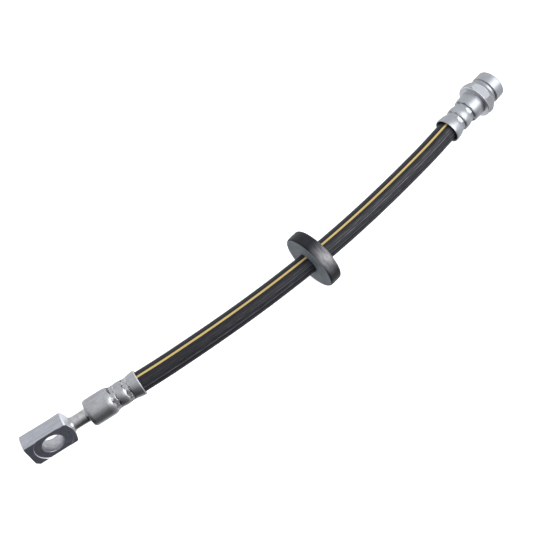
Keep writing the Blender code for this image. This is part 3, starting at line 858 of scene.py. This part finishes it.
@dataclass
class Ferrule:
    """Drawn ferrule: rounded closed end, straight barrel, two crimp bands and a bell mouth.

    Its skin ends at lip. Rows past rim_from in radius and height are the rim, painted with a
    highlight in a much lighter steel, and metal up to torn from a band's edges is torn up by
    the jaws and painted with dark and light flecks that stand for shade and glints.
    """

    hole: float = 3.65
    roll: float = -12.0
    lip: tuple[float, float] = (6.54, 27.6)
    rim_from: tuple[float, float] = (5.9, 27.5)
    torn: float = 0.55
    columns: int = 224
    bands: tuple[CrimpBand, ...] = (CrimpBand(14.4, 5.42, crease=0.12, fleck=0.24),
                                    CrimpBand(21.4, 5.30, crease=0.16, fleck=0.24))

    def make(self, finishes: list[Material]) -> Object:
        """Build the ferrule from its outline, with the bands pressed into its skin.

        Args:
            finishes: of the drawn skin, the torn edges of the jaws' marks, painted with flecks of
                shade and glints, and the rim, painted with a highlight.

        Returns:
            The ferrule.
        """
        outer = curve_through([
            (5.55, 0.0), (6.05, 0.12), (6.45, 0.42), (6.72, 0.95), (6.84, 1.6), (6.87, 2.6),
            (6.87, 9.6), (6.84, 10.8), (6.68, 11.9), (6.35, 12.8), (5.90, 13.6), (5.68, 14.3),
            (5.72, 15.3), (5.88, 16.6), (5.98, 18.0), (5.92, 19.3), (5.70, 20.4), (5.55, 21.3),
            (5.64, 22.3), (5.88, 23.4), (6.18, 24.8), (6.42, 26.4), self.lip], 8)
        rim = curve_through([self.lip, (6.54, 27.82), (6.42, 27.95), (6.15, 27.92),
                             (5.98, 27.7)], 4)
        inner = [(5.85, 27.0), (5.72, 25.0), (5.30, 23.2), (4.72, 22.2), (4.72, 20.4),
                 (4.95, 19.0), (4.95, 17.0), (4.78, 15.4), (4.78, 13.4), (5.55, 11.2),
                 (5.55, 1.6), (self.hole, 1.5), (self.hole, 0.0)]
        loop = densify(np.vstack([outer, rim[1:], inner]), 0.16)
        shape = np.repeat(loop[:, None, :], self.columns, axis=1)
        skin = np.arange(len(loop)) <= np.argmin(np.hypot(*(loop - self.lip).T))
        press_bands(shape, skin, self.bands)
        torn = np.zeros(len(loop), dtype=bool)
        for band in self.bands:
            away = np.abs(np.abs(loop[:, 1] - band.height) - band.width / 2.0)
            torn |= skin & (away < self.torn)
        # Painted light: the rim takes the much lighter steel as a highlight, the torn edges the
        # flecked steel as shade and glints.
        slots = np.where((loop > self.rim_from).all(axis=1), 2, torn)
        place = FERRULE_AXIS.rolled(self.roll).place
        return Piece("banjo_ferrule_piece", place(revolve(shape, self.columns))).build(
            finishes, 60.0, slots)


@dataclass
class FemaleEnd:
    """Turned hexagon fitting with its threaded port, and the flare insert pressed in it."""

    length: float = 37.0
    socket: float = 6.92
    flange: float = 9.53
    flange_start: float = 22.35
    hex_corner: float = 9.79
    hex_start: float = 23.1
    hex_end: float = 26.1
    cone_end: float = 29.1
    cone_radius: float = 7.75
    groove: float = 7.05
    collar_start: float = 31.0
    collar: float = 7.95
    port: float = 4.5
    port_floor: float = 24.6
    socket_floor: float = 19.4
    passage: float = 2.3
    thread_pitch: float = 1.0
    thread_depth: float = 0.5
    thread_end: float = 1.2
    seat_head: float = 4.15
    insert_radius: float = 1.95
    insert_bore: float = 1.1
    columns: int = 240
    bands: tuple[CrimpBand, ...] = tuple(
        CrimpBand(height, apothem, jaws=10, turn=math.radians(-12.0), fleck=0.05)
        for height, apothem in ((7.1, 5.64), (14.1, 5.67)))

    def outline(self) -> tuple[np.ndarray, np.ndarray]:
        """Return the fitting's closed outline and, for each sample, 1 on the skin, 2 on the
        thread and 0 elsewhere."""
        end, start, port, groove = self.length, self.flange_start, self.port, self.groove
        first, collar, next_up = self.hex_start, self.collar, self.collar_start
        edge = self.flange - 0.4
        socket = curve_through([
            (6.60, 0.02), (6.74, 0.02), (6.88, 0.2), (6.95, 0.9), (6.93, 1.6), (6.82, 2.6),
            (6.56, 4.3), (6.20, 5.5), (5.82, 6.6), (5.75, 7.2), (6.05, 8.0), (6.37, 8.9),
            (6.43, 10.1), (6.37, 11.2), (6.11, 12.4), (5.85, 13.3), (5.80, 14.0), (6.35, 14.9),
            (6.68, 15.8), (6.85, 17.0), (self.socket, 18.7), (self.socket, 21.9)], 7)
        flange = rounded([
            (self.socket, 21.9), (6.95, start - 0.12), (7.2, start), (self.flange - 0.45, start),
            (self.flange - 0.1, start + 0.2), (self.flange, first - 0.3), (edge, first)], 0.16, 3)
        body = rounded([
            (edge, first + 0.02), (self.hex_corner, first + 0.35),
            (self.hex_corner, self.hex_end), (self.cone_radius + 0.1, self.cone_end - 0.16),
            (groove + 0.22, self.cone_end), (groove, self.cone_end + 0.4),
            (groove, next_up - 0.3), (groove + 0.3, next_up), (collar, next_up + 0.25),
            (collar, end - 0.75), (collar - 0.10, end - 0.38), (collar - 0.38, end - 0.10),
            (collar - 0.75, end), (port + 0.62, end), (port + 0.1, end - 0.5)], 0.12, 3)
        skin = densify(np.vstack([socket[:-1], flange, body]), 0.15)
        turns = np.arange(end - 0.6, self.port_floor + self.thread_end, -self.thread_pitch / 10.0)
        thread = np.stack([np.full_like(turns, port), turns], axis=1)
        inner = np.array([
            (port, self.port_floor + 1.0), (port, self.port_floor),
            (self.passage, self.port_floor), (self.passage, self.socket_floor),
            (5.45, self.socket_floor), (5.45, 17.0), (4.76, 15.3), (4.76, 13.0), (4.92, 11.8),
            (4.92, 9.8), (4.72, 8.4), (4.72, 6.3), (5.20, 5.2), (5.58, 3.6), (5.75, 1.6),
            (6.46, 0.16)])
        kind = np.repeat([1, 2, 0], [len(skin), len(thread), len(inner)])
        return np.vstack([skin, thread, inner]), kind

    def make_fitting(self, finishes: list[Material]) -> Object:
        """Build the fitting from its outline.

        On the skin the radius is the smaller of the outline's and the hexagon's reach;
        in the port a ridge winds one pitch for each turn.

        Args:
            finishes: of the fitting and of its flange, a much lighter copy of the steel
                that paints in the light on the flange.

        Returns:
            The fitting.
        """
        loop, kind = self.outline()
        height = loop[:, 1]
        skin, wound = kind == 1, kind == 2
        angle = around(self.columns)[None, :]
        shape = np.repeat(loop[:, None, :], self.columns, axis=1)
        sixth = math.pi / 6.0
        flats = polygon_reach(angle, 6, self.hex_corner * math.cos(sixth), sixth)
        hexed = skin & (height > self.hex_start + 0.01) & (height < self.cone_end)
        shape[hexed, :, 0] = np.minimum(shape[hexed, :, 0], flats)
        press_bands(shape, skin, self.bands)
        turns = height[wound][:, None]
        phase = np.mod(turns / self.thread_pitch - angle / TURN, 1.0)
        depth = self.thread_depth * np.clip(1.25 - 2.9 * np.abs(phase - 0.5), 0.0, 1.0)
        fade = np.clip(turns - self.port_floor - self.thread_end, 0.0, 1.0)
        shape[wound, :, 0] += depth * fade
        # The flange's ring takes the much lighter steel: painted light.
        ring = skin & (loop[:, 0] > 7.05) & (height > self.flange_start - 0.2) \
            & (height < self.hex_start)
        place = FEMALE_AXIS.place
        return Piece("female_fitting_piece", place(revolve(shape, self.columns))).build(
            finishes, 32.0, ring)

    def make_insert(self, steel: Material) -> Object:
        """Insert with the port's raised flare seat at one end and hose barbs at the other."""
        base, head, neck = self.port_floor + 0.3, self.seat_head, self.insert_radius
        seat = rounded([
            (self.insert_bore, base + 3.5), (1.85, base + 3.5), (head - 0.1, base + 1.5),
            (head, base + 1.3), (head, base), (neck, base), (neck, self.socket_floor - 0.9),
            (neck - 0.3, self.socket_floor - 1.3)], 0.15, 3)
        barbs = barb_outline(self.socket_floor - 1.4, 2.2, neck)
        loop = np.vstack([seat, barbs, [(self.insert_bore, float(barbs[-1, 1]))]])
        shape = FEMALE_AXIS.place(revolve(densify(loop, 0.8), 96))
        return Piece("flare_insert_piece", shape).build([steel])


@dataclass
class HoseRun:
    """The rubber hose from inside one fitting to inside the other.

    Each of banjo_grip and female_grip is a height in that fitting with the share of its
    free radius that the hose keeps there.
    """

    radius: float = 5.25
    bore: float = 1.6
    insert_bore: float = 2.3
    insert_reach: float = 22.5
    stripe_angle: float = -20.5
    columns: int = 144
    banjo_grip: tuple[tuple[float, float], ...] = (
        (3.6, 0.95), (9.5, 0.95), (13.2, 0.83), (15.6, 0.83), (18.2, 0.86), (20.2, 0.83),
        (22.4, 0.83), (25.0, 0.98), (27.95, 1.0))
    female_grip: tuple[tuple[float, float], ...] = (
        (0.0, 1.0), (3.2, 0.98), (6.2, 0.83), (8.5, 0.83), (10.8, 0.86), (13.0, 0.83),
        (15.4, 0.83), (17.2, 0.95), (18.8, 0.95))
    free_route: tuple[Triple, ...] = (
        (-74.41, 1.48, 12.10), (-59.41, -0.05, 12.87), (-44.41, -1.37, 13.58),
        (-29.41, -2.43, 14.22), (-14.41, -3.17, 14.78), (0.60, -3.57, 15.24),
        (13.40, -3.59, 15.34), (20.60, -3.46, 15.23), (35.60, -2.83, 14.70),
        (50.60, -1.80, 14.00), (65.60, -0.40, 13.10), (80.60, 1.26, 12.15),
        (95.60, 3.18, 11.30))

    def route(self) -> np.ndarray:
        """Return the route's points in metres with the hose's radius at each, samples by 4."""
        banjo, female = np.array(self.banjo_grip), np.array(self.female_grip)
        along = np.array([0.0, 0.0, 1.0])
        first = FERRULE_AXIS.place(banjo[:, :1] * along)
        last = FEMALE_AXIS.place(female[:, :1] * along)
        free = np.array(self.free_route) * MM
        share = np.concatenate([banjo[:, 1], np.ones(len(free)), female[:, 1]])
        return np.column_stack([np.vstack([first, free, last]), share * self.radius * MM])

    def centreline(self, per: int = 12) -> np.ndarray:
        """Smooth the route: the same cubic as an outline's, carried through four columns."""
        knots = self.route()
        gap = np.linalg.norm(np.diff(knots[:, :3], axis=0), axis=1)
        time = np.concatenate([[0.0], np.cumsum(gap)])
        slope = np.gradient(knots, time, axis=0)
        slope[:, 3] = 0.0
        fine = np.concatenate([time[i] + (time[i + 1] - time[i]) * np.arange(per) / per
                               for i in range(len(gap))] + [time[-1:]])
        index = np.clip(np.searchsorted(time, fine, side="right") - 1, 0, len(gap) - 1)
        t = ((fine - time[index]) / gap[index])[:, None]
        width = gap[index][:, None]
        return ((2 * t ** 3 - 3 * t ** 2 + 1) * knots[index]
                + (t ** 3 - 2 * t ** 2 + t) * width * slope[index]
                + (3 * t ** 2 - 2 * t ** 3) * knots[index + 1]
                + (t ** 3 - t ** 2) * width * slope[index + 1])

    def make_hose(self, rubber: Material) -> Object:
        """Carry a circle along the centreline, out along the skin and back along the bore.

        The circle's zero angle points opposite the stripe, so that the stripe lies in the
        middle of the UV map's width.

        Args:
            rubber: the finish.

        Returns:
            The hose.
        """
        line = self.centreline()
        centre, radius = line[:, :3], line[:, 3]
        along = np.gradient(centre, axis=0)
        along /= np.linalg.norm(along, axis=1, keepdims=True)
        side = np.stack([along[:, 1], -along[:, 0], np.zeros(len(along))], axis=1)
        side /= np.linalg.norm(side, axis=1, keepdims=True)
        up = np.cross(side, along)
        angle = around(self.columns) + math.pi + math.radians(self.stripe_angle)
        ring = up[:, None, :] * np.cos(angle)[None, :, None] \
            + side[:, None, :] * np.sin(angle)[None, :, None]
        outer = centre[:, None, :] + ring * radius[:, None, None]
        step = np.linalg.norm(np.diff(centre, axis=0), axis=1)
        length = np.concatenate([[0.0], np.cumsum(step)])
        inside = np.minimum(length, length[-1] - length) < self.insert_reach * MM
        hollow = np.where(inside, self.insert_bore, self.bore) * MM
        inner = centre[:, None, :] + ring * hollow[:, None, None]
        hose = Piece("hose_piece", np.concatenate([outer, inner[::-1]])).build([rubber])
        tuple(float(v) for v in centre[0])
        [tuple(float(v) for v in p) for p in centre]
        return hose


@dataclass
class GrommetDisc:
    """Thick rubber disc moulded on the hose."""

    radius: float = 15.25
    width: float = 7.0
    bore: float = 5.34
    edge: float = 0.7
    centre: Triple = (13.40, -3.59, 15.338)
    heading: float = 5.9
    pitch: float = -2.0
    hose_heading: float = 0.3
    shift_from: float = 9.0
    columns: int = 160

    def make_disc(self, finishes: list[Material]) -> Object:
        """Turn the disc's section: slightly crowned rim, rounded edges and flat faces.

        Towards the bore each ring slides sideways in its own plane, in step with its
        height, so that the bore follows the hose through the tilted disc.

        Args:
            finishes: of the smooth rim, with its painted highlight patch, and of the faces, painted
                lighter as a reflection of the floor.

        Returns:
            The disc.
        """
        half, rim, edge, bore = self.width / 2.0, self.radius, self.edge, self.bore
        loop = densify(rounded([
            (bore, 0.0), (bore, half - 0.25), (bore + 0.25, half), (rim - edge, half),
            (rim - 0.06, half - edge), (rim, 0.0), (rim - 0.06, edge - half),
            (rim - edge, -half), (bore + 0.25, -half), (bore, 0.25 - half), (bore, -0.01)],
            0.6, 5), 0.8)
        shape = revolve(loop, self.columns)
        axis = Axis(self.centre, self.heading, self.pitch)
        hose = Axis(self.centre, self.hose_heading, 0.0).basis()[2] @ axis.basis().T
        share = np.clip((self.shift_from - loop[:, 0]) / (self.shift_from - bore), 0.0, 1.0)
        slide = (share * loop[:, 1])[:, None] * (hose[:2] / hose[2])
        shape[..., :2] += slide[:, None, :]
        on_face = loop[:, 0] < rim - edge - 0.1
        # The faces take the second finish, whose lighter colour is painted reflection.
        return Piece("grommet_piece", axis.place(shape)).build(
            finishes, slots=on_face | np.roll(on_face, -1))


@dataclass
class Studio:
    """Pale floor, one soft light, a soft surround and the camera at the photo's angle.

    The surround's light goes from dim to bright over the range across of a direction's dot
    product with bright_side, and rises to below over the range below_from of its height.
    """

    eye: Triple = (-0.093794, -0.091841, 0.474369)
    yaw: float = 48.491
    pitch: float = -73.990
    roll: float = 1.858
    lens: float = 66.893
    floor_half: float = 3.0
    floor_glow: float = 0.80
    lamp_at: Triple = (0.40, -0.27, 0.66)
    lamp_aim: Triple = (0.10, 0.0, 0.0)
    lamp_side: float = 0.78
    lamp_power: float = 4.4
    bright_side: Triple = (0.72, 0.68, 0.10)
    across: tuple[float, float] = (-0.88, 0.08)
    bright: float = 0.98
    dim: float = 0.05
    below: float = 1.05
    below_from: tuple[float, float] = (-0.64, -0.90)
    tint: Triple = (0.94, 0.97, 1.0)

    def make_camera(self) -> None:
        """Add the camera and make it the scene's."""
        yaw, pitch, roll = (math.radians(v) for v in (self.yaw, self.pitch, self.roll))
        ahead = Vector((math.cos(pitch) * math.cos(yaw), math.cos(pitch) * math.sin(yaw),
                        math.sin(pitch)))
        right = ahead.cross(Vector((0.0, 0.0, 1.0))).normalized()
        up = right.cross(ahead)
        x_axis = right * math.cos(roll) + up * math.sin(roll)
        y_axis = up * math.cos(roll) - right * math.sin(roll)
        data = bpy.data.cameras.new("camera")
        data.lens = self.lens
        data.sensor_width = 36.0
        data.clip_start, data.clip_end = 0.01, 20.0
        camera = link_object("camera", data)
        turn = Matrix((x_axis, y_axis, -ahead)).transposed().to_4x4()
        turn.translation = Vector(self.eye)
        camera.matrix_world = turn
        bpy.context.scene.camera = camera

    def make_floor(self) -> None:
        """Add the pale floor as one flat grid cell, lit a little from within like a light table."""
        mesh = bpy.data.meshes.new("floor")
        half = self.floor_half
        mesh.from_pydata([(-half, -half, 0.0), (half, -half, 0.0), (half, half, 0.0),
                          (-half, half, 0.0)], [], [(0, 1, 2, 3)])
        mat, _, inputs = new_material("floor", (0.94, 0.94, 0.94), 0.9, 0.0)
        inputs["Emission Color"].default_value = (1.0, 1.0, 1.0, 1.0)
        inputs["Emission Strength"].default_value = self.floor_glow
        mesh.materials.append(mat)
        floor = link_object("floor", mesh)
        floor.visible_glossy = False
        floor.visible_diffuse = False
        floor.visible_shadow = False

    def make_lamp(self) -> None:
        """Add the square soft light."""
        data = bpy.data.lights.new("far_soft", "AREA")
        data.shape = "RECTANGLE"
        data.size = data.size_y = self.lamp_side
        data.energy = self.lamp_power
        lamp = link_object("far_soft", data)
        lamp.location = self.lamp_at
        ahead = Vector(self.lamp_aim) - Vector(self.lamp_at)
        lamp.rotation_euler = ahead.to_track_quat("-Z", "Y").to_euler()

    def make_surround(self) -> None:
        """Wrap the studio in a soft tent of light, on the plain display transform."""
        world = bpy.data.worlds.new("surround")
        world.use_nodes = True
        nodes = Nodes(world.node_tree)
        way = nodes.coords("Generated")
        side = nodes.against("DOT_PRODUCT", way, self.bright_side)
        level = nodes.remap(side, *self.across, self.dim, self.bright)
        below = nodes.remap(nodes.split(way, "Z"), *self.below_from, 0.0, self.below)
        shade = world.node_tree.nodes["Background"].inputs
        shade["Color"].default_value = (*self.tint, 1.0)
        nodes.link(nodes.math("MAXIMUM", level, below), shade["Strength"])
        bpy.context.scene.world = world
        bpy.context.scene.view_settings.view_transform = "Standard"


def settle(piece: Object, node: str) -> None:
    """Ride a finished piece on the object, in place of its plain solid, and log it."""
    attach(piece, "root")
    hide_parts(node)
    LOG.info("%s: %d faces for %s", piece.name, len(piece.data.polygons), node)


def main() -> None:
    """Build the studio and each part of the hose, in order."""
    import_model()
    studio = Studio()
    studio.make_camera()
    settle(HoseRun().make_hose(HoseRubber().build()), "hose")

    made = {finish.name: finish.build() for finish in STEELS}

    def steels(*kinds: str) -> list[Material]:
        """Return the steels of these kinds, in order."""
        return [made[f"{kind}_steel"] for kind in kinds]

    banjo = BanjoEnd()
    settle(banjo.make_block(steels("banjo", "milled", "bore", "end")), "banjo_block")
    settle(banjo.make_neck(made["neck_steel"]), "neck_tube")
    settle(Ferrule().make(steels("ferrule", "scuffed", "end")), "banjo_ferrule")

    settle(GrommetDisc().make_disc([MouldedRubber().build(), FLOOR_LIT_FACE_RUBBER.build()]), "grommet")

    female = FemaleEnd()
    settle(female.make_fitting(steels("fitting", "flange")), "female_fitting")
    settle(female.make_insert(made["insert_steel"]), "flare_insert")

    studio.make_floor()
    studio.make_lamp()
    studio.make_surround()


if __name__ == "__main__":
    logging.basicConfig(level=logging.INFO)
    main()
